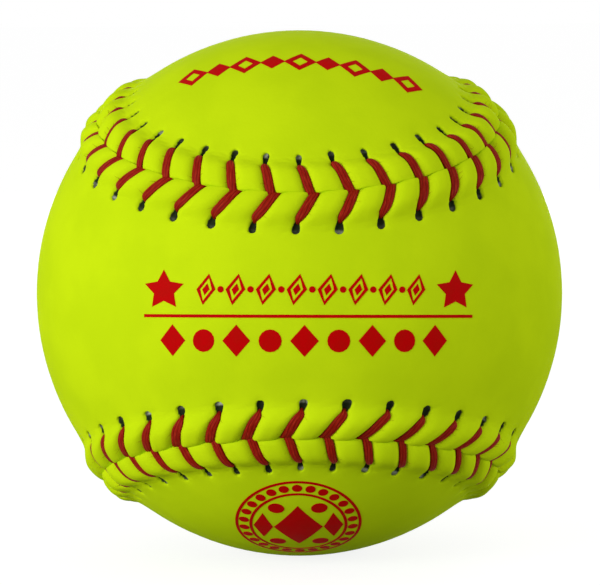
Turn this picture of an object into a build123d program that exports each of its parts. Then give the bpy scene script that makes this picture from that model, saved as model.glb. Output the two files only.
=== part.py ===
# An eleven-inch softball with raised seams, built as the real ball is: a moulded core in a coat
# of cement, two equal cover panels, and two runs of thread that lace the panels together.
# The origin is the ball's centre, +Z is up, and the waist of the front panel faces -Y.
import os
from bisect import bisect_left
from math import atan2, cos, pi, radians, sin, sqrt, tan

from build123d import *

os.makedirs("parts", exist_ok=True)

# Ball and its layers, in millimetres
ball_girth = 279.4  # eleven inches round the smooth cover
cover_thickness = 2.0
cement_thickness = 0.2
layer_clearance = 0.05

# Seam: its closed curve, as shares of the ball's radius, and how many stitches it has
waist_share = 0.2968  # draws the two long sides in to the waist
side_share = 0.0513  # flattens the sides of the waist
end_share = 0.059  # fills out the round ends
stitches_per_quarter = 20
seam_steps = 4000  # short straight steps that the curve's length is added up in

# Thread: the places where it goes down the crease are measured along the seam from its hole
thread_diameter = 0.9
thread_clearance = 0.09
thread_bend = 0.65  # radius at the middle of the thread where it turns into a hole
back_dive_lead = 2.0
dive_clearance = 0.5  # between a back stitch and a front stitch in the crease
crest_bend_share = 0.68  # of the shorter run beside the crest, taken up by the bend there
crest_lean_share = 0.4  # of the turn over the lip, from the crest to either straight run

# Needle holes, longer away from the seam, so that the thread leaves an open end
hole_offset = 5.3  # seam to the middle of the thread in its hole
hole_side_clearance = 0.2
hole_open_length = 1.25

# Raised lip of a panel: one arc from the crease over the crest and down into the ball
lip_edge_height = 0.4
lip_crest_offset = 2.75
lip_crest_height = 1.25
lip_foot_reach = 0.7  # how far past the thread's hole the arc ends
lip_foot_depth = 0.3
lip_section_count = 13  # along a quarter of the seam

# Passage under the lip, where the thread runs hidden
passage_reach = 0.6  # how far it goes on past the open end of a hole
overrun = 1.0

# Sizes that follow from these
ball_radius = ball_girth / (2 * pi)
inner_radius = ball_radius - cover_thickness
stitch_count = 4 * stitches_per_quarter
front_dive_lead = back_dive_lead + thread_diameter + dive_clearance
thread_radius = thread_diameter / 2
seam_gap = thread_diameter + 2 * thread_clearance
hole_width = thread_diameter + 2 * hole_side_clearance
hole_near_offset = hole_offset - thread_radius - hole_side_clearance
hole_far_offset = hole_offset + thread_radius + hole_open_length
hidden_sag = hole_offset**2 / (8 * inner_radius)  # of a straight run below the ball's curve
hidden_depth = cover_thickness + layer_clearance - thread_clearance - thread_radius - hidden_sag
passage_roof_depth = hidden_depth - thread_radius - thread_clearance
lip_root_depth = (passage_roof_depth + cover_thickness) / 2
lip_foot_offset = hole_offset + lip_foot_reach


def seam_point(turn):
    """The seam's point on a ball of radius 1; turn goes from 0 to 2 pi in the sewing direction."""
    main_share = 1 - waist_share
    swing_share = 2 * sqrt(main_share * waist_share)
    x = main_share * sin(turn) + waist_share * sin(3 * turn) + side_share * sin(5 * turn)
    y = -swing_share * cos(2 * turn) - end_share * cos(6 * turn)
    z = main_share * cos(turn) - waist_share * cos(3 * turn) + side_share * cos(5 * turn)
    return Vector(x, y, z).normalized()


def measure_seam():
    """Evenly parted turns round the seam, and the seam's length up to each of them."""
    turns = [2 * pi * step / seam_steps for step in range(seam_steps + 1)]
    points = [seam_point(turn) * ball_radius for turn in turns]
    lengths = [0.0]
    for last, here in zip(points, points[1:]):
        lengths.append(lengths[-1] + (here - last).length)
    return turns, lengths


seam_turns, seam_lengths = measure_seam()
seam_length = seam_lengths[-1]
stitch_pitch = seam_length / stitch_count


def seam_plane(distance):
    """The plane square to the seam at a distance along it: x across, y out, z along the seam.

    Its origin is the ball's centre, and +x points from the front panel to the back panel.
    """
    around = distance % seam_length
    step = min(max(bisect_left(seam_lengths, around), 1), seam_steps)
    low, high = seam_lengths[step - 1], seam_lengths[step]
    turn_step = 2 * pi / seam_steps
    turn = seam_turns[step - 1] + turn_step * (around - low) / (high - low)
    out = seam_point(turn)
    along = seam_point(turn + turn_step) - seam_point(turn - turn_step)
    across = out.cross(along).normalized()
    return Plane(origin=(0, 0, 0), x_dir=across, z_dir=across.cross(out))


def profile_point(offset, height):
    """A place in that plane, by its distance from the seam and its height over the ball."""
    reach = ball_radius + height
    return reach * sin(offset / ball_radius), reach * cos(offset / ball_radius)


# Distances along the top quarter of the seam, and one step past either end
ring_step = seam_length / 4 / (lip_section_count - 1)
ring_distances = [ring_step * number for number in range(-1, lip_section_count + 1)]


def band_sections(near, far, low, high):
    """Sections along that quarter of a band beside the seam, on the front panel's side."""
    offsets = (near, (near + far) / 2, far)
    sections = []
    for distance in ring_distances:
        with BuildSketch(seam_plane(distance)) as section:
            with BuildLine():
                floor = ThreePointArc(*[profile_point(-offset, low) for offset in offsets])
                roof = ThreePointArc(*[profile_point(-offset, high) for offset in offsets])
                Line(floor @ 0, roof @ 0)
                Line(floor @ 1, roof @ 1)
            make_face()
        sections.append(section.sketch)
    return sections


def lip_sections():
    """Sections of the raised lip along that quarter, on the front panel's side."""
    root = profile_point(-seam_gap / 2, -lip_root_depth)
    edge = profile_point(-seam_gap / 2, lip_edge_height)
    crest = profile_point(-lip_crest_offset, lip_crest_height)
    foot = profile_point(-lip_foot_offset, -lip_foot_depth)
    heel = profile_point(-lip_foot_offset, -lip_root_depth)
    sections = []
    for distance in ring_distances:
        with BuildSketch(seam_plane(distance)) as section:
            with BuildLine():
                Line(root, edge)
                ThreePointArc(edge, crest, foot)
                Polyline(foot, heel, root)
            make_face()
        sections.append(section.sketch)
    return sections


def hole_plane(number):
    """The plane over a needle hole of the front panel: x away from the seam, z out of the ball."""
    station = seam_plane(number * stitch_pitch)
    middle = -(hole_near_offset + hole_far_offset) / 2
    place = station.from_local_coords(Vector(*profile_point(middle, 0)))
    return Plane(origin=place, x_dir=-station.x_dir, z_dir=place)


# Front cover panel: its upper right quarter, mirrored to the left and then downwards
with BuildPart() as cover_panel_front:
    Sphere(ball_radius)
    Sphere(inner_radius, mode=Mode.SUBTRACT)
    split(bisect_by=Plane.YZ)
    split(bisect_by=Plane.XY)
    # Cut along the crest of the lip to come, and keep the piece on the waist's side
    cut = (lip_crest_offset, lip_crest_offset + seam_gap, -cover_thickness - overrun, overrun)
    loft(sections=band_sections(*cut), mode=Mode.SUBTRACT)
    add(solids().sort_by(Axis.Y)[0], mode=Mode.REPLACE)
    loft(sections=lip_sections())
    passage = (
        -overrun,
        hole_far_offset + passage_reach,
        -cover_thickness - overrun,
        -passage_roof_depth,
    )
    loft(sections=band_sections(*passage), mode=Mode.SUBTRACT)
    split(bisect_by=Plane.YZ)
    split(bisect_by=Plane.XY)
    for number in range(stitches_per_quarter + 1):
        with BuildSketch(hole_plane(number)):
            SlotOverall(hole_far_offset - hole_near_offset, hole_width)
    extrude(amount=passage_roof_depth + overrun, both=True, mode=Mode.SUBTRACT)
    mirror(about=Plane.YZ)
    mirror(about=Plane.XY)
cover_panel_front.part.label = "cover_panel_front"

# Back cover panel: the same piece, turned over about the diagonal of X and Z
with BuildPart() as cover_panel_back:
    add(cover_panel_front.part.rotate(Axis((0, 0, 0), (1, 0, 1)), 180))
cover_panel_back.part.label = "cover_panel_back"

# Core and its coat of cement
cement_radius = inner_radius - layer_clearance
with BuildPart() as cement_coat:
    Sphere(cement_radius)
    Sphere(cement_radius - cement_thickness, mode=Mode.SUBTRACT)
cement_coat.part.label = "cement_coat"

with BuildPart() as core:
    Sphere(cement_radius - cement_thickness - layer_clearance)
core.part.label = "core"

# Route of a stitch in the plane across the seam, with its own panel on the side of +x: up its
# hole, over the lip on an arc's tangents, down the crease and under the other panel's lip
with BuildLine(mode=Mode.PRIVATE):
    lip_arc = ThreePointArc(
        profile_point(seam_gap / 2, lip_edge_height),
        profile_point(lip_crest_offset, lip_crest_height),
        profile_point(lip_foot_offset, -lip_foot_depth),
    )
lip_centre = lip_arc.arc_center
over_radius = lip_arc.radius + thread_clearance + thread_radius
hole_x, hole_middle_y = profile_point(hole_offset, -passage_roof_depth / 2)
hidden_y = profile_point(hole_offset, -hidden_depth)[1]


def over_angle(x):
    """The angle round the lip's centre at which the thread's arc reaches x."""
    reach = x - lip_centre.X
    return atan2(sqrt(over_radius**2 - reach**2), reach)


crest_angle = (over_angle(hole_x) + over_angle(0)) / 2
lean = (over_angle(0) - over_angle(hole_x)) * crest_lean_share


def tangent_point(angle, x):
    """The place at x on the line that touches the thread's arc at an angle."""
    reach = over_radius - (x - lip_centre.X) * cos(angle)
    return x, lip_centre.Y + reach / sin(angle)


crest_x = lip_centre.X + over_radius / cos(lean) * cos(crest_angle)
hole_top = tangent_point(crest_angle - lean, hole_x)
crest_top = tangent_point(crest_angle - lean, crest_x)
crease_top = tangent_point(crest_angle + lean, 0)


def stitch_points(number, side, lead):
    """Corners of one stitch, from its own hole to the other panel's next hole."""

    def place(run, x, y):
        plane = seam_plane(number * stitch_pitch + run)
        return plane.from_local_coords(Vector(side * x, y))

    return [
        place(0, hole_x, hole_middle_y),
        place(0, *hole_top),
        place(lead * (1 - crest_x / hole_x), *crest_top),
        place(lead, *crease_top),
        place(lead, 0, ball_radius - hidden_depth),
        place(stitch_pitch, -hole_x, hidden_y),
        place(stitch_pitch, -hole_x, hole_middle_y),
    ]


def crest_bend(before, corner, after):
    """The radius of the bend at the crest that takes up its share of the shorter run."""
    into, away = corner - before, after - corner
    reach = crest_bend_share * min(into.length, away.length)
    return reach / tan(radians(into.get_angle(away)) / 2)


def stitch(number, first_is_front):
    """One stitch of a run, whose stitches lie on the front and the back panel by turns."""
    on_front = (number % 2 == 0) == first_is_front
    side, lead = (-1, front_dive_lead) if on_front else (1, back_dive_lead)
    points = stitch_points(number, side, lead)
    bends = [thread_bend, crest_bend(*points[1:4]), thread_bend, thread_bend, thread_bend]
    with BuildPart() as piece:
        with BuildLine():
            FilletPolyline(*points, radius=bends)
        with BuildSketch(Plane(origin=points[0], z_dir=points[1] - points[0])):
            Circle(thread_radius)
        sweep()
    return piece.part


def half_run(first_is_front):
    """Every stitch of a run from the middle of the top seam to the middle of the bottom one."""
    return [stitch(number, first_is_front) for number in range(stitch_count // 2)]


# Threads: each run comes back to its start after one turn round the whole seam
with BuildPart() as first_needle_thread:
    add(half_run(first_is_front=True))
    add(first_needle_thread.part.rotate(Axis.Y, 180))
first_needle_thread.part.label = "first_needle_thread"

with BuildPart() as second_needle_thread:
    add(half_run(first_is_front=False))
    add(second_needle_thread.part.rotate(Axis.Y, 180))
second_needle_thread.part.label = "second_needle_thread"

for piece in (
    core,
    cement_coat,
    cover_panel_front,
    cover_panel_back,
    first_needle_thread,
    second_needle_thread,
):
    export_step(piece.part, f"parts/{piece.part.label}.step")
    print(piece.part.label, len(piece.solids()), round(piece.part.volume, 1))
print("seam", round(seam_length, 2), "stitch pitch", round(stitch_pitch, 3))
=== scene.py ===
from math import ceil, cos, pi, radians, sin, sqrt

import bpy
import numpy as np
from mathutils import Matrix, Vector


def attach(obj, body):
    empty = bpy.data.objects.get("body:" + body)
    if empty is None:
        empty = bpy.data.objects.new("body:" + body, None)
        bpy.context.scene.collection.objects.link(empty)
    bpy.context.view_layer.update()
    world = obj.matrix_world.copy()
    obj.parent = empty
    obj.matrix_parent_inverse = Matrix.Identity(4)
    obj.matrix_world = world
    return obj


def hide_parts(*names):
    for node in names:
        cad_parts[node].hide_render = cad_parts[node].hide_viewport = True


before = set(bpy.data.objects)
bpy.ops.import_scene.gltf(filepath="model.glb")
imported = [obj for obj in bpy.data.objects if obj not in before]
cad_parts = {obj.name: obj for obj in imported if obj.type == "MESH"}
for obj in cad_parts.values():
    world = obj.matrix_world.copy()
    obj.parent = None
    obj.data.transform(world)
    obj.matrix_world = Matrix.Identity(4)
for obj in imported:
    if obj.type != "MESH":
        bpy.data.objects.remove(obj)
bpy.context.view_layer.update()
print("the packed ball is loaded")

mm = 0.001  # lengths below are millimetres on the ball, and become metres in each mesh

# The ball and its seam. Three shares bend the curve: at the waist, its sides and the round ends.
ball = {
    "girth": 279.4,
    "coverThickness": 2.0,
    "waistShare": 0.2968,
    "sideShare": 0.0513,
    "endShare": 0.059,
    "stitches": 80,
    "waistSpread": 0.55,  # the most a stitch is drawn away from the middle of a waist
    "lowWaistDrop": 0.3,  # of the crease below the front panel, towards the back one
    "lowWaistReach": 0.25,  # share of the seam over which that fades to either side
    "bowPeak": 27 / 4,  # makes the cubic bow of a leg reach one at its peak
    "leanWidth": 4.6,  # from the crease to where a stitch has stopped leaning
    "leanSoftness": 0.2,
    "seed": 11,
}
radius = ball["girth"] / (2 * pi)
stitches = ball["stitches"]


# Seam direction at u, from 0 to a full turn: sums of odd sines and cosines across and up,
# even cosines from front to back, pulled onto the unit sphere.
def seamDirection(u):
    b = ball["waistShare"]
    a = 1 - b
    c = 2 * sqrt(a * b)
    x = a * np.sin(u) + b * np.sin(3 * u) + ball["sideShare"] * np.sin(5 * u)
    y = -c * np.cos(2 * u) - ball["endShare"] * np.cos(6 * u)
    z = a * np.cos(u) - b * np.cos(3 * u) + ball["sideShare"] * np.cos(5 * u)
    return unit(np.stack([x, y, z], axis=-1))


# Vectors divided by their own lengths.
def unit(v):
    return v / np.linalg.norm(v, axis=-1, keepdims=True)


# The seam is stepped through once, so that a distance along it gives back its u.
seamSteps = 16000
stepU = np.linspace(0, 2 * pi, seamSteps + 1)
stepLength = np.linalg.norm(np.diff(seamDirection(stepU), axis=0), axis=1) * radius
stepAlong = np.concatenate([[0], np.cumsum(stepLength)])
seamLength = stepAlong[-1]
pitch = seamLength / stitches


# Zero below low, one above high, and an S-shaped rise between.
def rise(x, low, high):
    t = np.clip((x - low) / (high - low), 0, 1)
    return t * t * (3 - 2 * t)


# Point at a distance along the seam, across it (to the back panel where positive) and above the
# smooth ball: the seam direction turned about the seam's own line, times radius plus height. The
# low waist, half the seam from the start, is drawn across by a soft rise.
def onBall(along, across, height):
    along = along % seamLength
    fromLow = np.abs(along / seamLength - 0.5)
    across = across + ball["lowWaistDrop"] * rise(fromLow, ball["lowWaistReach"], 0)
    u, nudge = np.interp(along, stepAlong, stepU), 1e-4
    out = seamDirection(u)
    ahead = unit(seamDirection(u + nudge) - seamDirection(u - nudge))
    aside = np.cross(out, ahead)
    turn = (across / radius)[..., None]
    return (out * np.cos(turn) + aside * np.sin(turn)) * (radius + height)[..., None]


# Distance along the seam of a stitch: even steps, plus a sine that has two turns in the whole seam.
def stitchPlace(stitch):
    return stitch * pitch + ball["waistSpread"] * np.sin(4 * pi * stitch / stitches)


# A smooth curve through given (place, value) pairs: a cubic between each two, whose slope at
# a pair is the slope between its neighbours.
def through(pairs, x):
    place, value = np.array(pairs, float).T
    slope = np.gradient(value, place)
    i = np.clip(np.searchsorted(place, x) - 1, 0, len(place) - 2)
    wide = place[i + 1] - place[i]
    t = np.clip((x - place[i]) / wide, 0, 1)
    t2, t3 = t * t, t * t * t
    return (value[i] * (1 - 3 * t2 + 2 * t3) + value[i + 1] * (3 * t2 - 2 * t3)
            + slope[i] * wide * (t - 2 * t2 + t3) + slope[i + 1] * wide * (t3 - t2))


# The most by which a hand-made stitch differs from the next: millimetres for the lead and the hole,
# shares for the sizes, and scores from -1 to 1 for the pale backing's painted glint and the folds.
unevenness = {"lead": 0.15, "hole": 0.12, "holeSize": 0.12, "puff": 0.035, "width": 0.07,
              "backingGlint": 1, "fold": 1}
# even random numbers between minus and plus each of these, one for each stitch of both panels
draw = np.random.default_rng(ball["seed"])
differences = {side: {name: draw.uniform(-size, size, stitches)
                      for name, size in unevenness.items()} for side in ("front", "back")}

# The two panels: the side of the seam, how far a stitch leads at the crease and starts behind its
# place, the first column's stitch, the bow of a leg, how far out the holes are shifted and the thread
# ends, and the thread's width. Drawn holes: stitch number, millimetres along the seam and outwards.
sides = {
    "front": {
        "sign": -1, "lead": 3.2, "behind": 0.55, "startStitch": stitches // 4, "bow": 0.24,
        "holeShift": -0.3, "threadEnd": 4.45, "topWidth": 1.84,
        "drawn": [(0, 0, 0), (33, 0, 0), (35, -0.45, 0), (37, -0.4, 0), (38, -0.45, 0.2),
                  (39, -0.1, 0), (40, 0, 0), (80, 0, 0)],
    },
    "back": {
        "sign": 1, "lead": 1.75, "behind": 0, "startStitch": 0, "bow": 0.2,
        "holeShift": 0.45, "threadEnd": 4.75, "topWidth": 1.62,
        "drawn": [(0, 0, 0), (1, 0, 0.35), (2, 0.25, 0.15), (3, 0.7, 0.1), (4, 0.9, 0.35),
                  (5, 1.05, 0.2), (8, 1.1, 0), (12, 0, 0), (28, 0, 0), (33, -1.7, -0.3),
                  (35, -1.9, -0.3), (36, -1.75, -0.1), (37, -0.7, 0), (39, 0, 0), (40, 0, 0),
                  (41, 0, 0.3), (42, 0.3, 0.3), (44, 0, 0), (80, 0, 0)],
    },
}


# A per-stitch list read at a place by stitch number, straight between two stitches.
def between(values, stitch):
    looped = np.append(values, values[0])
    return np.interp(stitch % stitches, np.arange(len(looped)), looped)


# How far a stitch leads at the crease, for a place by stitch number.
def leadAt(side, stitch):
    return sides[side]["lead"] + between(differences[side]["lead"], stitch)


# How far a hole is drawn along the seam and out from it, read between the listed stitches.
def drawnAt(side, stitch):
    listed, along, out = np.array(sides[side]["drawn"], float).T
    stitch = stitch % stitches
    return np.interp(stitch, listed, along), np.interp(stitch, listed, out)


# How far a stitch leans along the seam: its whole lead at the crease, falling softly to nothing more
# than its hole's own place, plus a cubic bow that is largest two thirds of the way out.
def leanAt(side, stitch, across):
    lead, slide = leadAt(side, stitch), drawnAt(side, stitch)[0]
    t = across / ball["leanWidth"]
    share = (1 - t + np.sqrt((1 - t) ** 2 + ball["leanSoftness"] ** 2)) / 2
    inside = np.clip(t, 0, 1)
    bow = sides[side]["bow"] * ball["bowPeak"] * inside ** 2 * (1 - inside)
    return slide + (lead - slide) * share + bow


# A new object in the scene.
def addObject(name, data):
    thing = bpy.data.objects.new(name, data)
    bpy.context.scene.collection.objects.link(thing)
    return thing


# A smooth shaded mesh object from points in millimetres, groups of faces and a material, with named
# values that the material reads at each point.
def makePiece(name, points, faces, material, values=None):
    mesh = bpy.data.meshes.new(name)
    mesh.from_pydata(points * mm, [], [face for group in faces for face in group.tolist()])
    for label, numbers in (values or {}).items():
        layer = mesh.attributes.new(label, "FLOAT", "POINT")
        layer.data.foreach_set("value", numbers.astype(np.float32))
    mesh.shade_smooth()
    mesh.materials.append(material)
    return addObject(name, mesh)


# Faces between two closed rings of point numbers: four-sided where both have as many points, and
# three triangles to each wide step where one has twice as many as the other.
def joinRings(first, second):
    if len(first) == len(second):
        return [np.stack([first, np.roll(first, -1), np.roll(second, -1), second], axis=1)]
    if len(first) < len(second):
        return [face[:, ::-1] for face in joinRings(second, first)]
    near, mid, far = first[0::2], first[1::2], np.roll(first[0::2], -1)
    far2 = np.roll(second, -1)
    return [np.stack([near, mid, second], axis=1), np.stack([mid, far, far2], axis=1),
            np.stack([mid, far2, second], axis=1)]


# Four-sided faces between the rows and columns of a grid of point numbers, or of many grids.
def gridFaces(grid):
    corners = [grid[..., :-1, :-1], grid[..., 1:, :-1], grid[..., 1:, 1:], grid[..., :-1, 1:]]
    return np.stack(corners, axis=-1).reshape(-1, 4)


cover = {
    "columns": 24,  # to each stitch
    "crowding": 0.5,  # 0 spaces them evenly, 1 brings them together at the stitch
    "bandWidth": 9.4,  # from the crease to where the panel is smooth
    "creaseGap": 0.006,  # from the crease's middle to either panel
    "creaseFoot": -0.2,  # height at which the crease's walls have ended
    "underside": -0.9,
    "undersideRows": (2, 4.5, 7.6),  # across the seam
    "undersideStep": 0.2,  # from the last of those rows down to the panel's smooth inside
    "puff": [(0, 1.36), (.15, 1.46), (.5, 1.64), (1.1, 1.82), (2, 1.95), (2.75, 1.96), (3.5, 1.8),
             (4.2, 1.42), (4.8, 1), (5.4, .6), (6, .34), (6.8, .18), (7.8, .07), (9.4, 0)],
    "bed": [(0, .26), (.3, .42), (.9, .64), (1.8, .82), (2.5, .87), (3.2, .8), (3.8, .64), (4.4, .45),
            (5, .31), (5.6, .22), (6.3, .16), (7.2, .1), (8.2, .04), (9.4, 0)],
    "bedShare": [(0, .8), (2, .74), (3.8, .56), (4.6, .42), (9.4, .42)],  # of the thread's half width
    "holeEnds": (4.1, 6.25),  # near to the crease and far from it
    "holeRadii": (0.38, 0.62),  # at those ends
    "holeWidening": (0.3, 0.95),  # shares of the hole's length between which it widens
    "holeDepth": 0.62,
    "holeEdge": (-0.1, 0.08),  # from inside to outside a hole, where its wall falls
    "bendWidening": 0.25,  # share by which a hole is wider midway between two waists
    "bendSinking": 0.14,  # and by which the stitches and their beds lie lower there
    "dimple": 0.1,
    "dimpleReach": 0.7,
    "foldDepth": 0.1,
    "foldWidth": 0.32,
    "foldSwing": 0.3,  # the most that a stitch turns its folds, as an angle
    "foldShares": (0.6, 0.4),  # of its depth: the same at each stitch, and uneven
    "foldMiddle": 5.5,  # across the seam, where the folds round a hole would meet
    "foldReach": (0.75, 2.7),
    "foldAngles": (-2.2, -1.25, 1.2, 2.1),
    "footLine": 5.35,  # across the seam, the faint line where the puffs meet the ball
    "footDepth": 0.1,
    "footWidth": 0.3,
    "footSwell": 1.5,  # power with which that line deepens away from a stitch
    "rowSteps": [(0, .05), (.4, .2), (1.2, .38), (3.5, .42), (4.0, .15), (7.4, .15), (8.0, .3)],
    "wideningRows": (8.8, 8.3),  # where rings double their points towards the seam
    "fieldRows": 14,
    "spineLength": 105,  # degrees from the panel's middle to each end of its middle line
    "seamReach": 155,  # degrees from the panel's middle to the seam, along that line
}


# One midway between two waists of the seam and nothing at each waist: a squared sine.
def bendAt(stitch):
    return np.sin(4 * pi * stitch / stitches) ** 2


# How much lower the stitches and their beds lie, as a share: a steeper hump at each bend.
def sunkAt(stitch):
    return cover["bendSinking"] * bendAt(stitch) ** 2


# How far a point is outside a stitch hole, and how far along the hole it is: the distance to a
# short line away from the seam, less a radius that grows along it.
def outsideHole(beside, across, shift, size):
    near, far = (end + shift for end in cover["holeEnds"])
    slim, broad = cover["holeRadii"]
    t = np.clip((across - near) / (far - near), 0, 1)
    wide = slim + (broad - slim) * rise(t, *cover["holeWidening"])
    outside = np.hypot(beside, across - near - (far - near) * t) - wide * size
    return outside, (across - near) / (far - near)


# Depth of the folds: short lines that run out from each hole, deepest halfway along, and the line
# at the foot of each puff, deepest midway between two stitches.
def foldDepth(beside, across, strength):
    out = across - cover["foldMiddle"]
    away, angle = np.hypot(beside, out), np.arctan2(beside, out)
    near, far = cover["foldReach"]
    along = np.clip((away - near) / (far - near), 0, 1)
    even, uneven = cover["foldShares"]
    depth = np.zeros_like(away)
    for number, line in enumerate(cover["foldAngles"]):
        turned = strength * (-1) ** number  # every other fold does the opposite
        aside = away * (angle - line - cover["foldSwing"] * turned) / cover["foldWidth"]
        depth = depth + np.exp(-aside ** 2) * (even + uneven * turned)
    depth = depth * cover["foldDepth"] * np.sin(pi * along)
    aside = (across - cover["footLine"]) / cover["footWidth"]
    middle = np.clip(np.abs(beside) / (pitch / 2), 0, 1) ** cover["footSwell"]
    return depth + cover["footDepth"] * (even + uneven * strength) * middle * np.exp(-aside ** 2)


# Height of the cover over the smooth ball: a bed under each stitch and, by one minus a cube, a round
# puff between two, less the hole, the soft dimple round it and the folds.
def coverHeight(side, stitch, beside, across, outside, fullness, strength):
    half = through(cover["bedShare"], across) * sides[side]["topWidth"] / 2
    t = np.clip((np.abs(beside) - half) / (pitch / 2 - half), 0, 1)
    pillow = 1 - (1 - t) ** 3
    bed = through(cover["bed"], across) * (1 - sunkAt(stitch))
    puff = through(cover["puff"], across)
    lift = bed + (puff * fullness - bed) * pillow
    dimple = cover["dimple"] * np.exp(-(np.maximum(outside, 0) / cover["dimpleReach"]) ** 2)
    lift = lift - dimple - foldDepth(beside, across, strength)
    return lift - cover["holeDepth"] * (1 - rise(outside, *cover["holeEdge"]))


# Places of the rows across the band: steps are small at the crease and over the hole, and wide on
# the crest, so each row is where the added-up need for rows reaches its number.
def bandRows():
    samples = 4001
    w = np.linspace(cover["creaseGap"], cover["rowSteps"][-1][0], samples)
    step = np.interp(w, *np.array(cover["rowSteps"]).T)
    need = np.concatenate([[0], np.cumsum((w[1:] - w[:-1]) / step[1:])])
    count = int(round(need[-1]))
    return np.interp(np.linspace(0, need[-1], count + 1), need, w)


# One cover panel as a closed shell: rings of points run round the seam, from the middle line of the
# outside over the puffs and down the crease, then back under the panel to its inner middle line.
def makePanel(side, name):
    place = sides[side]
    own = differences[side]
    full = stitches * cover["columns"]
    # a point's three values: how far it is outside a hole and along it, and the score of its pale
    # backing and painted glint
    points, values, numbers, faces = [], [], [], []
    farFromHoles = 3  # each value where no hole is near

    # stitch number and distance along the seam of each column, crowded at the stitches by a sine
    def columns(count):
        stitch = np.arange(count) * (full // count) / cover["columns"] + place["startStitch"]
        swing = cover["crowding"] * np.sin(2 * pi * stitch) / (2 * pi)
        return stitch, stitchPlace(stitch - swing)

    def addPoints(xyz, three=farFromHoles):
        start = sum(len(p) for p in points)
        points.append(xyz)
        values.append(np.broadcast_to(three, (3, len(xyz))))
        return np.arange(start, start + len(xyz))

    def addRing(xyz, three=farFromHoles):
        numbers.append(addPoints(xyz, three))
        if len(numbers) > 1:
            faces.extend(joinRings(numbers[-2], numbers[-1]))

    # the band beside the seam, leaning with the stitches; without a height it follows the cover
    def bandRing(count, w, height=None):
        stitch, along = columns(count)
        nearest = np.rint(stitch).astype(int)
        offset = along - stitchPlace(nearest)
        nearest = nearest % stitches
        across = np.full(count, w)
        shift = place["holeShift"] + own["hole"][nearest] + drawnAt(side, nearest)[1]
        size = 1 + own["holeSize"][nearest] + cover["bendWidening"] * bendAt(nearest)
        outside, far = outsideHole(offset, across, shift, size)
        if height is None:
            lift = coverHeight(side, stitch, offset, across, outside,
                               1 + between(own["puff"], stitch), own["fold"][nearest])
        else:
            lift = np.full(count, height)
        aim = along - place["behind"] + leanAt(side, stitch, across)
        xyz = onBall(aim, place["sign"] * across, lift)
        addRing(xyz, [outside, far, own["backingGlint"][nearest]])

    # the panel's middle line: the seam's bearing round the panel's axis, with its ends drawn in
    def middleLine(count):
        p = onBall(columns(count)[1], np.zeros(count), np.zeros(count))
        bearing = np.arctan2(p[:, 0], -p[:, 1]) if side == "front" else np.arctan2(p[:, 2], p[:, 1])
        reach = radians(cover["seamReach"])
        drawn = radians(cover["seamReach"] - cover["spineLength"])
        bearing = bearing - drawn * (bearing / reach) ** 3
        level, turned, zero = np.cos(bearing), np.sin(bearing), np.zeros(count)
        axes = [turned, -level, zero] if side == "front" else [zero, level, turned]
        return np.stack(axes, axis=1)

    # the smooth field: a share of the way from the band's edge to the middle line
    def fieldRing(count, share, edge, height):
        stitch, along = columns(count)
        across = np.full(count, edge)
        aim = along - place["behind"] + leanAt(side, stitch, across)
        rim = unit(onBall(aim, place["sign"] * across, np.zeros(count)))
        addRing(unit(rim + (middleLine(count) - rim) * share) * (radius + height))

    # rings on the smooth field have an eighth of the columns, and double twice before the band
    narrow, rows, depth = full // 8, cover["fieldRows"], -ball["coverThickness"]
    for row in range(1, rows):
        fieldRing(narrow, 1 - row / rows, cover["bandWidth"], 0)
    bandRing(narrow, cover["bandWidth"])
    for count, w in zip((full // 4, full // 2), cover["wideningRows"]):
        bandRing(count, w)
    for w in bandRows()[::-1]:
        bandRing(full, w)
    bandRing(full // 2, cover["creaseGap"], cover["creaseFoot"])
    bandRing(full // 4, cover["creaseGap"], cover["underside"])
    for count, w in zip((full // 4, narrow, narrow), cover["undersideRows"]):
        bandRing(count, w, cover["underside"])
    for row in range(rows):
        fieldRing(narrow, row / rows, cover["undersideRows"][-1] + cover["undersideStep"], depth)

    # the first and last rings close on the middle lines, where the two sides of a ring meet
    half = np.minimum(np.arange(narrow), narrow - np.arange(narrow))
    for ring, height in ((numbers[0], 0), (numbers[-1], depth)):
        line = addPoints(middleLine(narrow)[:narrow // 2 + 1] * (radius + height))[half]
        faces.extend(joinRings(line, ring) if height == 0 else joinRings(ring, line))
    if place["sign"] > 0:
        faces = [group[:, ::-1] for group in faces]
    outside, far, backingGlint = np.concatenate(values, axis=1)
    print(name, "has", sum(len(group) * (group.shape[1] - 2) for group in faces), "triangles")
    return makePiece(name, np.concatenate(points), faces, leatherMaterial,
                     {"outsideHole": outside, "alongHole": far, "backingGlint": backingGlint})


thread = {
    "around": 24,
    "strands": 3,
    "holeWidth": 0.8,
    "topThickness": 0.62,
    "hiddenRadius": 0.45,
    "hiddenDepth": -1.45,
    "topRows": 24,
    "hiddenRows": 9,
    "endUnevenness": 0.5,  # share of a hole's unevenness that the thread's end follows
    "squareness": 2.6,  # at two the bundle's section is an ellipse, and above that it is boxier
    "furrow": 0.12,  # share of the thickness that is missing between two strands
    "strandPower": 0.7,  # below one the furrows are narrow and the strands broad
    "wander": 0.12,  # how far the strands drift to a side, as a share of the half width
    "wanderStep": 0.37,  # angle of that drift from row to row
}


# The end of a leg in its hole: the stitch's place along the seam, how far the hole is drawn from
# there, and how far the end is from the crease.
def threadEnd(side, stitch):
    slide, out = drawnAt(side, stitch)
    uneven = differences[side]["hole"][stitch % stitches] * thread["endUnevenness"]
    place = stitchPlace(stitch) - sides[side]["behind"]
    return place, slide, sides[side]["threadEnd"] + uneven + out


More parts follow.
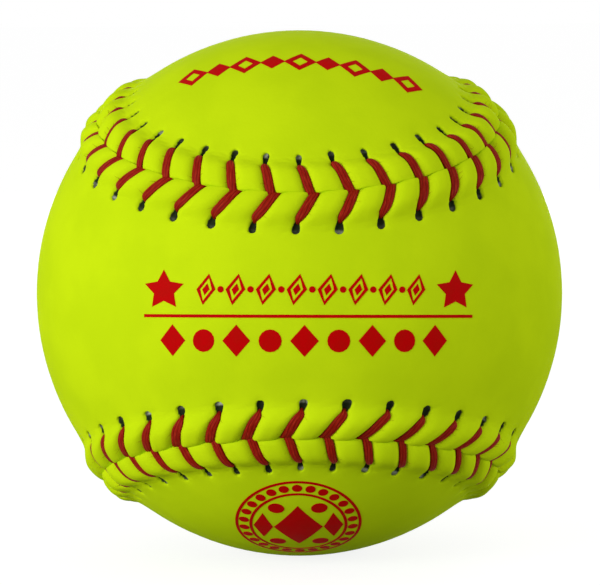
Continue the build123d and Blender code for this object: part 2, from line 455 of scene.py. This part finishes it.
# One leg of a run as rows of (along, across, height, half width, half thickness): out of its hole,
# over the lip, down the crease and hidden under the other lip to the next hole.
def legRows(side, stitch, nextSide, nextStitch):
    mark, nextMark = sides[side]["sign"], sides[nextSide]["sign"]
    start, _, hole = threadEnd(side, stitch)
    end, slide, nextHole = threadEnd(nextSide, nextStitch)
    uneven = differences[side]["width"][stitch % stitches]
    half = sides[side]["topWidth"] / 2 * (1 + uneven)
    narrow, thick = thread["holeWidth"] / 2, thread["topThickness"] / 2
    deep, slim = thread["hiddenDepth"], thread["hiddenRadius"]
    # across on the stitch's own side, height, half width, half thickness
    top = [
        (hole + 0.05, -0.85, slim, slim),
        (hole + 0.03, -0.3, narrow, 0.42),
        (hole - 0.02, 0.15, narrow, 0.36),
        (hole - 0.12, 0.46, half * 0.6, 0.33),
        (hole - 0.4, 0.74, half * 0.82, 0.32),
        (hole - 0.95, 0.98, half * 0.98, thick),
        (hole - 1.65, 1.1, half, thick),
        (1.7, 1.04, half, thick),
        (1.0, 0.9, half * 0.97, thick),
    ]
    if side == "front":  # it goes down between the panels, and the back stitch laps over it
        top += [(0.45, 0.7, half * 0.95, thick), (0.05, 0.4, half * 0.92, thick),
                (-0.14, -0.1, half * 0.8, thick)]
    else:
        top += [(0.45, 0.78, half * 0.93, thick), (0.05, 0.66, half * 0.87, thick),
                (-0.34, 0.4, half * 0.6, thick), (-0.38, -0.1, half * 0.5, thick)]
    across, height, width, thickness = np.array(top).T
    height = np.where(height > 0, height * (1 - sunkAt(stitch)), height)
    along = start + leanAt(side, stitch, np.maximum(across, 0))
    topRows = np.stack([along, mark * across, height, width, thickness], axis=1)
    lead = leadAt(side, stitch)
    down, way = start + lead, end + slide - start - lead
    hidden = [
        (down + 0.05, -mark * 0.15, -0.6, half * 0.7, 0.4),
        (down + 0.15 * way, nextMark * 0.6, deep + 0.1, slim, slim),
        (down + 0.5 * way, nextMark * 2.9, deep, slim, slim),
        (down + 0.85 * way, nextMark * (nextHole - 0.9), deep, slim, slim),
        (end + slide, nextMark * (nextHole + 0.05), deep + 0.15, slim, slim),
    ]
    return topRows, np.array(hidden)


# Rows spread evenly along a chain of control rows, on a smooth curve through them.
def spreadRows(control, count):
    step = np.linalg.norm(np.diff(control[:, :3], axis=0), axis=1)
    place = np.concatenate([[0], np.cumsum(step)])
    want = np.arange(count) / count * place[-1]
    columns = [through(np.stack([place, column], axis=1), want) for column in control.T]
    return np.stack(columns, axis=1)


# A run of thread as one closed tube: its section is a flat bundle of strands, set square to the
# run's rise and fall. Its edge is the root of one less a power of the way to a side, furrowed
# between the strands by the absolute value of a sine.
def makeThread(name, firstSide):
    order = sorted(sides, key=lambda side: side != firstSide)
    rows = []
    for stitch in range(stitches):
        side, other = order[stitch % 2], order[(stitch + 1) % 2]
        top, hidden = legRows(side, stitch, other, stitch + 1)
        following = legRows(other, stitch + 1, side, stitch + 2)[0]
        rows.append(spreadRows(np.concatenate([top, hidden[:1]]), thread["topRows"]))
        rows.append(spreadRows(np.concatenate([hidden, following[:1]]), thread["hiddenRows"]))
    rows = np.concatenate(rows)
    along, across, height, half, thick = rows.T
    go = unit((np.roll(rows, -1, axis=0) - np.roll(rows, 1, axis=0))[:, 1:3])
    turn = np.arange(thread["around"]) / thread["around"] * 4  # four quarters round the bundle
    x = np.where(turn < 2, 1 - turn, turn - 3)
    upper = np.where(turn < 2, 1, -1)
    strand = np.abs(np.sin(thread["strands"] * pi / 2 * (x + 1))) ** thread["strandPower"]
    furrowed = 1 - thread["furrow"] + thread["furrow"] * strand
    z = upper * (1 - np.abs(x) ** thread["squareness"]) ** 0.5 * furrowed
    wander = thread["wander"] * np.sin(np.arange(len(rows)) * thread["wanderStep"])[:, None]
    sideways = (x + wander * (1 - x * x)) * half[:, None]
    lift = z * thick[:, None]
    points = onBall(along[:, None] + sideways, across[:, None] - go[:, 1:2] * lift,
                    height[:, None] + go[:, 0:1] * lift)
    count = len(rows)
    numbers = np.arange(count * thread["around"]).reshape(count, thread["around"])
    faces = gridFaces(np.pad(numbers, ((0, 1), (0, 1)), mode="wrap"))
    length = np.linalg.norm(np.diff(rows[:, :3], axis=0, append=rows[:1, :3]), axis=1)
    run = np.concatenate([[0], np.cumsum(length)[:-1]])
    values = {"alongThread": np.repeat(run, thread["around"]), "acrossThread": np.tile(x, count)}
    print(name, "has", len(faces) * 2, "triangles")
    return makePiece(name, points.reshape(-1, 3), [faces], yarnMaterial, values)


fuzz = {
    "perLeg": 5,
    "fromCrease": 0.5,  # the nearest that one starts
    "fromEnd": 0.3,  # and how far it stays from the thread's end
    "holeShadeEdge": 0.85,  # share of the thread's half width at which it starts
    "overCover": 0.05,
    "length": (0.2, 0.8),
    "slip": 1.0,  # the most a fibre strays across the seam, as a share of its length
    "curl": 0.35,
    "thickness": 0.024,
    "taper": 0.7,  # share of the thickness that is lost at the tip
    "rings": 5,
    "threadHeights": [(.4, .7), (1.0, .9), (1.7, 1.04), (2.8, 1.1), (3.6, .97), (4.5, .5)],
    "seed": 5,
}


# Loose fibres as thin three-sided tubes: each starts inside an edge of a leg, runs out over the
# cover and lifts off it with the square of the way.
def makeFuzz(name):
    draw = np.random.default_rng(fuzz["seed"])
    points, count = [], stitches * fuzz["perLeg"]
    stitch = np.repeat(np.arange(stitches), fuzz["perLeg"])
    t = np.linspace(0, 1, fuzz["rings"])[:, None]
    a = np.arange(3) / 3 * 2 * pi
    for side, place in sides.items():
        start = draw.uniform(fuzz["fromCrease"], place["threadEnd"] - fuzz["fromEnd"], count)
        length = draw.uniform(*fuzz["length"], count)
        slip = draw.uniform(-fuzz["slip"], fuzz["slip"], count)
        edge = draw.choice([-1, 1], count)
        curl = draw.uniform(0, fuzz["curl"], count)
        half = place["topWidth"] / 2 * (1 + differences[side]["width"][stitch])
        foot = stitchPlace(stitch) - place["behind"] + leanAt(side, stitch, start)
        start, length, slip, edge, curl, half, foot, number = (
            v[:, None, None] for v in (start, length, slip, edge, curl, half, foot, stitch))
        across = start + slip * length * t
        beside = edge * (half * fuzz["holeShadeEdge"] + length * t)
        outside = np.ones(beside.shape)  # as if a millimetre from every hole
        over = coverHeight(side, number, beside, across, outside, 1, 0) + fuzz["overCover"]
        inThread = np.interp(start, *np.array(fuzz["threadHeights"]).T) * (1 - sunkAt(number))
        height = np.maximum(inThread, over) + curl * t * t
        wide = fuzz["thickness"] * (1 - fuzz["taper"] * t)
        points.append(onBall(foot + beside + 0 * a, place["sign"] * across + wide * np.sin(a) * edge,
                             height + wide * np.cos(a)).reshape(-1, 3))
    points = np.concatenate(points)
    ring = np.arange(len(points)).reshape(-1, fuzz["rings"], 3)
    walls = gridFaces(np.concatenate([ring, ring[..., :1]], axis=-1))
    print(name, "has", len(ring), "fibres")
    return makePiece(name, points, [walls, ring[:, 0], ring[:, -1, ::-1]], yarnMaterial)


# A new material with its node tree cleared but for the output.
def newMaterial(name):
    material = bpy.data.materials.new(name)
    material.use_nodes = True
    material.node_tree.nodes.clear()
    return material, material.node_tree


# Adds a shader node with its settings. Its inputs are set to a value or joined to a socket.
def addNode(tree, kind, inputs=None, **settings):
    node = tree.nodes.new("ShaderNode" + kind)
    for key, value in settings.items():
        setattr(node, key, value)
    for key, value in (inputs or {}).items():
        if isinstance(value, bpy.types.NodeSocket):
            tree.links.new(value, node.inputs[key])
        else:
            node.inputs[key].default_value = value
    return node


# A new node group with the named inputs and outputs, and its input and output nodes.
def newGroup(name, inputs, outputs):
    group = bpy.data.node_groups.new(name, "ShaderNodeTree")
    for way, sockets in (("INPUT", inputs), ("OUTPUT", outputs)):
        for label, kind in sockets.items():
            group.interface.new_socket(label, in_out=way, socket_type="NodeSocket" + kind)
    return group, group.nodes.new("NodeGroupInput"), group.nodes.new("NodeGroupOutput")


# Joins numbers or sockets by one operation. MULTIPLY_ADD takes a third, added to the product.
def addMath(tree, operation, *values):
    return addNode(tree, "Math", dict(enumerate(values)), operation=operation).outputs[0]


# A mask that rises smoothly from 0 at low to 1 at high.
def addRise(tree, value, low, high):
    ends = {"Value": value, "From Min": low, "From Max": high}
    return addNode(tree, "MapRange", ends, interpolation_type="SMOOTHSTEP").outputs["Result"]


# One colour where the mask is 0 and another where it is 1.
def addMix(tree, mask, first, second):
    return addNode(tree, "Mix", {0: mask, 6: first, 7: second}, data_type="RGBA").outputs[2]


# A value that a mesh carries at each of its points.
def attribute(tree, name):
    return addNode(tree, "Attribute", attribute_name=name).outputs["Fac"]


# Grain of coated leather: fine pebbles from a cell pattern over slow unevenness, as a normal.
def makeGrainGroup():
    group, come, go = newGroup(
        "coated grain", {"Pebbles per metre": "Float", "Depth": "Float", "Strength": "Float"},
        {"Normal": "Vector"})
    place = addNode(group, "TexCoord").outputs["Object"]
    slow = addNode(group, "TexNoise", {"Vector": place, "Scale": 700})
    cells = addNode(group, "TexVoronoi",
                    {"Vector": place, "Scale": come.outputs["Pebbles per metre"]}, feature="F1")
    height = addMath(group, "ADD", cells.outputs["Distance"], slow.outputs["Fac"])
    bump = addNode(group, "Bump", {
        "Height": height, "Distance": come.outputs["Depth"], "Strength": come.outputs["Strength"]})
    group.links.new(bump.outputs["Normal"], go.inputs["Normal"])
    return group


# Slow patches of colour: two colours mixed by soft noise.
def makeMottleGroup():
    group, come, go = newGroup(
        "mottle",
        {"First": "Color", "Second": "Color", "Patches per metre": "Float", "Amount": "Float"},
        {"Color": "Color"})
    place = addNode(group, "TexCoord").outputs["Object"]
    noise = addNode(group, "TexNoise", {
        "Vector": place, "Scale": come.outputs["Patches per metre"], "Detail": 4})
    patches = addRise(group, noise.outputs["Fac"], 0.35, 0.65)  # the noise seldom leaves this range
    mask = addMath(group, "MULTIPLY", patches, come.outputs["Amount"])
    colour = addMix(group, mask, come.outputs["First"], come.outputs["Second"])
    group.links.new(colour, go.inputs["Color"])
    return group


grainGroup = makeGrainGroup()
mottleGroup = makeMottleGroup()


# The patches of colour and the grain of a finish, as its colour and normal.
def addFinish(tree, look):
    mottle = addNode(tree, "Group", node_tree=mottleGroup, inputs={
        "First": look["colour"], "Second": look["patchColour"],
        "Patches per metre": look["patches"], "Amount": look["patchAmount"]})
    grain = addNode(tree, "Group", node_tree=grainGroup, inputs={
        "Pebbles per metre": look["pebbles"], "Depth": look["grainDepth"], "Strength": look["grain"]})
    return mottle.outputs["Color"], grain.outputs["Normal"]


# The shader of a finish, with its plain values set on its own sockets, and the output.
def addShader(tree, look, colour, normal):
    shader = addNode(tree, "BsdfPrincipled", {
        "Base Color": colour, "Normal": normal,
        "Roughness": look["roughness"], "Specular IOR Level": look["specular"]})
    addNode(tree, "OutputMaterial", {"Surface": shader.outputs["BSDF"]})


# A plain finish: two colours in patches, and a grain.
def makePlain(name, look):
    material, tree = newMaterial(name)
    addShader(tree, look, *addFinish(tree, look))
    return material


leather = {
    "colour": (0.51, 0.69, 0.0045, 1),
    "patchColour": (0.465, 0.642, 0.004, 1),
    "patches": 90,  # per metre, as are the pebbles and frays
    "patchAmount": 0.8,
    "pebbles": 1600,
    "grainDepth": 0.00003,  # metres
    "grain": 0.3,
    # painted shade: the dark colour inside each stitch hole stands in for the shadow down the hole
    "holeShadeColour": (0.018, 0.025, 0.011, 1),
    "holeShadeEdge": (0.05, -0.06),  # from outside to inside a hole
    # the hole's pale backing: partly its own colour and partly a painted glint at the hole's far end
    "backingGlintColour": (0.5, 0.53, 0.45, 1),
    "backingGlintNear": (0.85, 1.1),  # shares of a hole's length between which the backing comes up
    "backingGlintFar": (1.5, 1.25),  # and between which it ends
    "backingGlintEdge": (0.03, -0.1),  # from outside to inside a hole
    "backingGlintScore": (0, 0.8),  # a stitch's score from which more of it shows, up to the most
    "backingGlintMore": 0.85,
    "backingGlintLeast": 0.08,
    "frays": 900,
    "frayEdge": (0.3, 0.62),  # of the frayed noise, from bare to covered
    "roughness": 0.6,
    "specular": 0.003,
}


# Yellow coated leather: mottled colour, a dark inside to each stitch hole that is painted shade,
# and pale woven backing with a painted glint that shows at the far end of some holes.
def makeLeather():
    material, tree = newMaterial("optic yellow leather")
    patches, grain = addFinish(tree, leather)
    outside, along = attribute(tree, "outsideHole"), attribute(tree, "alongHole")
    # painted shade: the mask of the hole's dark inside colour, which stands in for the hole's shadow
    inside = addRise(tree, outside, *leather["holeShadeEdge"])
    place = addNode(tree, "TexCoord").outputs["Object"]
    frayed = addNode(tree, "TexNoise", {"Vector": place, "Scale": leather["frays"]})
    # painted glint: the pale backing colour shows at the far end of some holes, as a glint of light
    # would
    score = addRise(tree, attribute(tree, "backingGlint"), *leather["backingGlintScore"])
    backingGlintShows = addMath(tree, "MULTIPLY_ADD", score, leather["backingGlintMore"], leather["backingGlintLeast"])
    for value, edge in ((along, "backingGlintNear"), (along, "backingGlintFar"), (outside, "backingGlintEdge"),
                        (frayed.outputs["Fac"], "frayEdge")):
        backingGlintShows = addMath(tree, "MULTIPLY", backingGlintShows, addRise(tree, value, *leather[edge]))
    holeShadeAndGlint = addMix(tree, backingGlintShows, leather["holeShadeColour"], leather["backingGlintColour"])
    addShader(tree, leather, addMix(tree, inside, patches, holeShadeAndGlint), grain)
    return material


yarn = {
    "colour": (0.24, 0.006, 0.001, 1),
    # wear and painted highlight: the paler colour on top of each strand
    "wornHighlightColour": (0.4, 0.03, 0.012, 1),
    # painted shade: a darker colour in the furrows between strands and at the bundle's edges, where
    # shade falls
    "furrowShadeColour": (0.14, 0.003, 0.001, 1),
    "roughness": 0.55,
    "specular": 0.05,
    "fibresAcross": 9,
    "fibresAlong": 0.7,  # per millimetre
    "fibreTwist": 0.9,
    "fibreShare": 0.9,  # how much the fibres add to the swell of a strand
    "shadeToLitEdge": (0.35, 1.35),  # of that sum, from furrow to top
    "wornHighlightEdge": (0.45, 0.7),  # of the fibres, from fresh to worn
    "fibreRelief": 0.6,
    "fibreDepth": 0.00008,  # metres
}


# Waxed thread: fibres drawn out along the run and laid at a slant, paler on top of each strand by
# wear and a painted highlight, and painted shade in the furrows between strands and at its edges.
def makeYarn():
    material, tree = newMaterial("waxed red thread")
    along, across = attribute(tree, "alongThread"), attribute(tree, "acrossThread")
    slant = addMath(tree, "ADD", addMath(tree, "MULTIPLY", along, yarn["fibresAlong"]),
                    addMath(tree, "MULTIPLY", across, yarn["fibreTwist"]))
    lane = addMath(tree, "MULTIPLY", across, yarn["fibresAcross"])
    place = addNode(tree, "CombineXYZ", {"X": slant, "Y": lane}).outputs[0]
    noise = addNode(tree, "TexNoise", {"Vector": place, "Scale": 1, "Detail": 3})
    fibre = noise.outputs["Fac"]
    swell = addMath(tree, "ABSOLUTE", addMath(tree, "SINE", addMath(
        tree, "MULTIPLY", addMath(tree, "ADD", across, 1), thread["strands"] * pi / 2)))
    lit = addMath(tree, "MULTIPLY_ADD", fibre, yarn["fibreShare"], swell)
    # painted shade and highlight across each strand: dark in its furrows and at the bundle's edges,
    # lit on its top
    top = addRise(tree, lit, *yarn["shadeToLitEdge"])
    base = addMix(tree, top, yarn["furrowShadeColour"], yarn["colour"])
    # wear and painted highlight: paler fibres on the tops of the strands
    wornHighlight = addMath(tree, "MULTIPLY", top, addRise(tree, fibre, *yarn["wornHighlightEdge"]))
    colour = addMix(tree, wornHighlight, base, yarn["wornHighlightColour"])
    bump = addNode(tree, "Bump", {
        "Height": fibre, "Strength": yarn["fibreRelief"], "Distance": yarn["fibreDepth"]})
    addShader(tree, yarn, colour, bump.outputs["Normal"])
    return material


# the ink takes the leather's grain, and is thin in patches
inkLook = dict(leather, colour=(0.46, 0.0005, 0.001, 1), patchColour=(0.4, 0.003, 0.001, 1),
               patches=500, patchAmount=0.6, specular=0.02)
# under the cover: a foamed core and a coat of dried cement
foamLook = {
    "colour": (0.68, 0.57, 0.32, 1), "patchColour": (0.6, 0.47, 0.24, 1), "patches": 40,
    "patchAmount": 0.8, "pebbles": 900, "grainDepth": 0.0001, "grain": 0.5, "roughness": 0.8,
    "specular": 0.5,
}
cementLook = dict(foamLook, colour=(0.72, 0.66, 0.45, 1), patchColour=(0.62, 0.54, 0.33, 1),
                  patches=120, pebbles=500, roughness=0.35)

ink = {
    "top": 0.045,  # over the smooth cover
    "bottom": -0.06,
    "step": 0.8,  # longest side of a face, so that a mark bends with the ball
    "spotGrid": 5,  # points along each side of a round spot's grid
    "sharpAngle": 30,  # degrees, so that the edges of a mark stay crisp
}

# Where each mark is centred, in degrees round and up from the view that the marks are square to,
# and how far it is turned there.
marks = {
    "square": 4.88,  # that view's degrees above the middle of the front panel
    "front": (0, 0, -0.5),
    "crown": (0.55, 54.66, -4),
    "seal": (-1.1, -55.1, 0),
}


# Point on a mark: the distance up is a latitude of the mark's own frame, and the distance right is
# measured along that latitude's circle.
def onMark(mark, places, height):
    around, up, turned = (radians(angle) for angle in marks[mark])
    out = np.array([sin(around) * cos(up), -cos(around) * cos(up), sin(up)])
    right = np.array([cos(around), sin(around), 0])
    upward = np.cross(out, right)
    tilt = radians(marks["square"])
    c, s = cos(tilt), sin(tilt)
    tilted = np.array([[1, 0, 0], [0, c, -s], [0, s, c]])
    x, y = places[..., 0], places[..., 1]
    x, y = x * cos(turned) - y * sin(turned), x * sin(turned) + y * cos(turned)
    level = (y / radius)[..., None]
    side = (x / radius)[..., None] / np.cos(level)
    point = (out * np.cos(side) + right * np.sin(side)) * np.cos(level) + upward * np.sin(level)
    return point @ tilted * (radius + height)


# A four-cornered patch of a mark as a grid of places: both pairs of sides are shared out evenly.
def patch(corners):
    p = np.array(corners, float)
    edges = np.linalg.norm(p - np.roll(p, -1, axis=0), axis=1)
    n, m = (max(2, ceil(max(edges[i], edges[i + 2]) / ink["step"]) + 1) for i in (0, 1))
    s, t = np.meshgrid(np.linspace(0, 1, n), np.linspace(0, 1, m), indexing="ij")
    s, t = s[..., None], t[..., None]
    return (p[0] * (1 - s) + p[1] * s) * (1 - t) + (p[3] * (1 - s) + p[2] * s) * t


# Corners of a lozenge, upright or slanted by a share of its height, each moved out by grow.
def lozengeCorners(x, y, width, height, slant, grow=0):
    lean, w, h = slant * height / 2, width / 2 + grow, height / 2 + grow
    return [(x - w, y), (x - lean, y - h), (x + w, y), (x + lean, y + h)]


def lozenge(x, y, width, height, slant=0):
    return patch(lozengeCorners(x, y, width, height, slant))


# A lozenge's outline as four strokes that meet at its corners and end at its width and height.
def lozengeOutline(x, y, width, height, stroke, slant=0):
    inner, outer = (lozengeCorners(x, y, width - stroke, height - stroke, slant, grow)
                    for grow in (-stroke / 2, stroke / 2))
    return [patch([outer[i], outer[(i + 1) % 4], inner[(i + 1) % 4], inner[i]]) for i in range(4)]


# A five-pointed star as five kites from its middle.
def star(x, y, size, notch=0.52):
    kites = []
    for i in range(5):
        angle = pi / 2 + i * 2 * pi / 5
        ends = [(angle - pi / 5, notch), (angle, 1), (angle + pi / 5, notch)]
        kites.append(patch([(x, y)] + [
            (x + size[0] * k * cos(a), y + size[1] * k * sin(a)) for a, k in ends]))
    return kites


# A round spot: a square grid pulled out to a circle.
def spot(x, y, size):
    steps = np.linspace(-1, 1, ink["spotGrid"])
    s, t = np.meshgrid(steps, steps, indexing="ij")
    right, up = s * np.sqrt(1 - t * t / 2), t * np.sqrt(1 - s * s / 2)
    return np.stack([x + size * right, y + size * up], axis=-1)


# An oval line: its two edges at even angles, closed on itself.
def oval(x, y, across, up, stroke, turns=72):
    a = np.linspace(0, 2 * pi, turns + 1)
    return np.stack([np.stack([x + (across + d) * np.cos(a), y + (up + d) * np.sin(a)], axis=-1)
                     for d in (-stroke / 2, stroke / 2)], axis=1)


# All patches of a mark as one mesh of closed thin slabs: each grid once on top of the cover and once
# just under it, with walls between their edges.
def makeMark(name, mark, grids):
    points, faces, start = [], [], 0
    for grid in grids:
        n, m = grid.shape[:2]
        closed = np.allclose(grid[0], grid[-1])
        if closed:
            grid, n = grid[:-1], n - 1
        area = np.sum(np.cross(grid[1, 0] - grid[0, 0], grid[0, 1] - grid[0, 0]))
        if area < 0:
            grid = grid[:, ::-1]
        points += [onMark(mark, grid, ink[level]).reshape(-1, 3) for level in ("top", "bottom")]
        top = np.arange(n * m).reshape(n, m) + start
        if closed:
            top = np.concatenate([top, top[:1]])
        low = top + n * m
        start += 2 * n * m
        cells = gridFaces(top)
        faces += [cells, cells[:, ::-1] + n * m]
        edges = [(top[:, 0], low[:, 0]), (top[::-1, -1], low[::-1, -1])]
        if not closed:
            edges += [(top[0, ::-1], low[0, ::-1]), (top[-1], low[-1])]
        faces += [np.stack([up[:-1], down[:-1], down[1:], up[1:]], axis=-1) for up, down in edges]
    piece = makePiece(name, np.concatenate(points), faces, inkMaterial)
    piece.data.set_sharp_from_angle(angle=radians(ink["sharpAngle"]))
    return piece


front = {
    "starPlaces": ((-22.35, 0.4), (26.25, 0.4)),
    "starSize": (3.75, 3.25),  # half its breadth, and from its middle to its top
    "rule": (-26.1, 29.7, -3.65, 0.5),  # its left and right end, its height and its width
    "lightRow": {"middle": (2.0, 0.55), "pitch": 4.85, "count": 8, "size": (3.2, 4.9), "stroke": 0.63,
                 "slant": 0.25, "heart": 0.38, "bead": 0.52},
    "boldRow": {"middle": (0.8, -7.55), "pitch": 5.4, "count": 9, "size": (4.5, 5.1), "round": 1.82},
}


# Places of a row, evenly spaced about its middle.
def rowPlaces(row):
    x, y = row["middle"]
    return [(x + (i - (row["count"] - 1) / 2) * row["pitch"], y) for i in range(row["count"])]


# Two stars, a rule, a light row of slanted open lozenges with a bead between each two, and a bold
# row of lozenges and rounds by turns.
def frontMarks():
    grids = []
    for x, y in front["starPlaces"]:
        grids += star(x, y, front["starSize"])
    left, right, level, wide = front["rule"]
    low, high = level - wide / 2, level + wide / 2
    grids.append(patch([(left, low), (right, low), (right, high), (left, high)]))
    row = front["lightRow"]
    wide, tall = row["size"]
    for i, (x, y) in enumerate(rowPlaces(row)):
        grids += lozengeOutline(x, y, wide, tall, row["stroke"], row["slant"])
        grids.append(lozenge(x, y, wide * row["heart"], tall * row["heart"], row["slant"]))
        if i:
            grids.append(spot(x - row["pitch"] / 2, y, row["bead"]))
    row = front["boldRow"]
    for i, (x, y) in enumerate(rowPlaces(row)):
        grids.append(spot(x, y, row["round"]) if i % 2 else lozenge(x, y, *row["size"]))
    return grids


crown = {
    "count": 9,
    "pitch": 4.5125,
    "middle": (0, 2.45),
    "openSize": (5.35, 5.6),
    "stroke": 1.42,
    "solidSize": (4.1, 4.3),
}


# A row of broad lozenges, open and solid by turns.
def crownMarks():
    grids = []
    for i, (x, y) in enumerate(rowPlaces(crown)):
        if i % 2:
            grids.append(lozenge(x, y, *crown["solidSize"]))
        else:
            grids += lozengeOutline(x, y, *crown["openSize"], crown["stroke"])
    return grids


seal = {
    "middle": (0, -3.2),
    "outerRing": (10.15, 12.7, 0.5),  # half width, half height, stroke
    "innerRing": (7.8, 9.8, 0.5),
    "beadRing": (8.98, 11.25),
    "beads": 26,
    "bead": 0.84,
    "heart": (8, 13.4),
    "flank": (3.2, 8.4),
    "flankPlace": 5.75,
    "spotPlace": (3.5, 5.9),
    "spotSize": 1.35,
}


# A round seal: two oval lines with a ring of beads between, and three lozenges and four spots inside.
def sealMarks():
    x, y = seal["middle"]
    grids = [oval(x, y, *seal["outerRing"]), oval(x, y, *seal["innerRing"])]
    wide, tall = seal["beadRing"]
    for i in range(seal["beads"]):
        angle = 2 * pi * (i + 0.5) / seal["beads"]
        grids.append(spot(x + wide * cos(angle), y + tall * sin(angle), seal["bead"]))
    grids.append(lozenge(x, y, *seal["heart"]))
    wide, tall = seal["spotPlace"]
    for side in (-1, 1):
        grids.append(lozenge(x + side * seal["flankPlace"], y, *seal["flank"]))
        for end in (-1, 1):
            grids.append(spot(x + side * wide, y + end * tall, seal["spotSize"]))
    return grids


leatherMaterial = makeLeather()
yarnMaterial = makeYarn()
inkMaterial = makePlain("red stamping ink", inkLook)
print("the finishes are made")
for side in sides:
    panel = makePanel(side, side + "Cover")
    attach(panel, "root")
    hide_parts("cover_panel_" + side)
for side, name, node in (("front", "firstThread", "first_needle_thread"),
                         ("back", "secondThread", "second_needle_thread")):
    piece = makeThread(name, side)
    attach(piece, "root")
    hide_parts(node)
piece = makeFuzz("threadFuzz")
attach(piece, "root")
for mark, grids in (("front", frontMarks()), ("crown", crownMarks()), ("seal", sealMarks())):
    piece = makeMark(mark + "Print", mark, grids)
    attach(piece, "root")
for node, finish, look in (("core", "core foam", foamLook),
                           ("cement_coat", "dried cement", cementLook)):
    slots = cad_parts[node].data.materials
    slots.clear()
    slots.append(makePlain(finish, look))
print("the cover, both threads, the marks and the inside are made")

view = {
    "elevation": 4.88,  # degrees
    "roll": 0.4,
    "distance": 562,
    "lens": 198.66,
    "sensor": 36,
    "clip": (0.01, 100),  # metres
    "middle": (299.45, 292.96),  # the ball's centre in the picture, pixels
    "picture": (600, 585),
}


# A place and the turn that faces the ball's middle from there.
def facing(place):
    return Matrix.Translation(place) @ (-place).to_track_quat("-Z", "Y").to_matrix().to_4x4()


# The camera stands in front of the ball, a little above its middle, and looks at the middle, rolled
# by a fraction of a degree. Its shift puts the middle at its place in the picture.
def makeCamera():
    data = bpy.data.cameras.new("camera")
    data.lens = view["lens"]
    data.sensor_width = view["sensor"]
    camera = addObject("camera", data)
    tilt = radians(view["elevation"])
    place = Vector((0, -cos(tilt), sin(tilt))) * view["distance"] * mm
    camera.matrix_world = facing(place) @ Matrix.Rotation(-radians(view["roll"]), 4, "Z")
    wide, tall = view["picture"]
    data.shift_x = (wide / 2 - view["middle"][0]) / wide
    data.shift_y = (view["middle"][1] - tall / 2) / wide
    data.clip_start, data.clip_end = view["clip"]
    bpy.context.scene.camera = camera


light = {
    "world": 0.52,
    "lamps": {  # power, size and place
        "key": (11.7, 0.6, (-0.82, -0.72, 0.14)),
        "fill": (3.9, 0.6, (0.95, -0.21, 0.14)),
        "back": (4.4, 0.8, (0.1, 1.1, 0.1)),
    },
    "white": (1, 1, 1, 1),
    "floorGrey": (0.42, 0.42, 0.42, 1),
    "floorPale": (0.9, 0.9, 0.9, 1),
    "floorGlow": 1.22,
    "glowShare": 0.7,  # of the look of the floor, and the rest is the pale colour
    "floorSize": 20000,  # from its middle to each side
}


# The second shader where it is seen, straight from the camera, off a gloss or through glass, and
# the first where it lights other things: the highest of three ray masks.
def addSeen(tree, first, second):
    path = addNode(tree, "LightPath")
    seen = path.outputs["Is Camera Ray"]
    for ray in ("Is Glossy Ray", "Is Transmission Ray"):
        seen = addMath(tree, "MAXIMUM", seen, path.outputs[ray])
    mix = {0: seen, 1: first.outputs[0], 2: second.outputs[0]}
    return addNode(tree, "MixShader", mix).outputs[0]


# The room is white where it is seen and dimmer as a light. Three wide lamps stand round the ball.
def makeLight():
    world = bpy.data.worlds.new("studio")
    bpy.context.scene.world = world
    world.use_nodes = True
    tree = world.node_tree
    tree.nodes.clear()
    dim, white = (addNode(tree, "Background", {"Color": light["white"], "Strength": strength})
                  for strength in (light["world"], 1))
    addNode(tree, "OutputWorld", {"Surface": addSeen(tree, dim, white)})
    for name, (power, size, place) in light["lamps"].items():
        data = bpy.data.lights.new(name, "AREA")
        data.energy, data.size = power, size
        addObject(name, data).matrix_world = facing(Vector(place))


# A wide floor that the ball stands on: grey as it lights the ball, and nearly white where it is seen.
def makeFloor():
    material, tree = newMaterial("pale floor")
    dim, pale = (addNode(tree, "BsdfDiffuse", {"Color": light[colour]})
                 for colour in ("floorGrey", "floorPale"))
    glow = addNode(tree, "Emission", {"Color": light["white"], "Strength": light["floorGlow"]})
    white = addNode(tree, "MixShader",
                    {0: light["glowShare"], 1: pale.outputs[0], 2: glow.outputs[0]})
    addNode(tree, "OutputMaterial", {"Surface": addSeen(tree, dim, white)})
    size = light["floorSize"]
    corners = [(-size, -size), (size, -size), (size, size), (-size, size)]
    floor = makePiece("floor", np.array([(x, y, -radius) for x, y in corners]),
                      [np.array([[0, 1, 2, 3]])], material)


makeCamera()
makeLight()
makeFloor()
bpy.context.scene.view_settings.view_transform = "Standard"
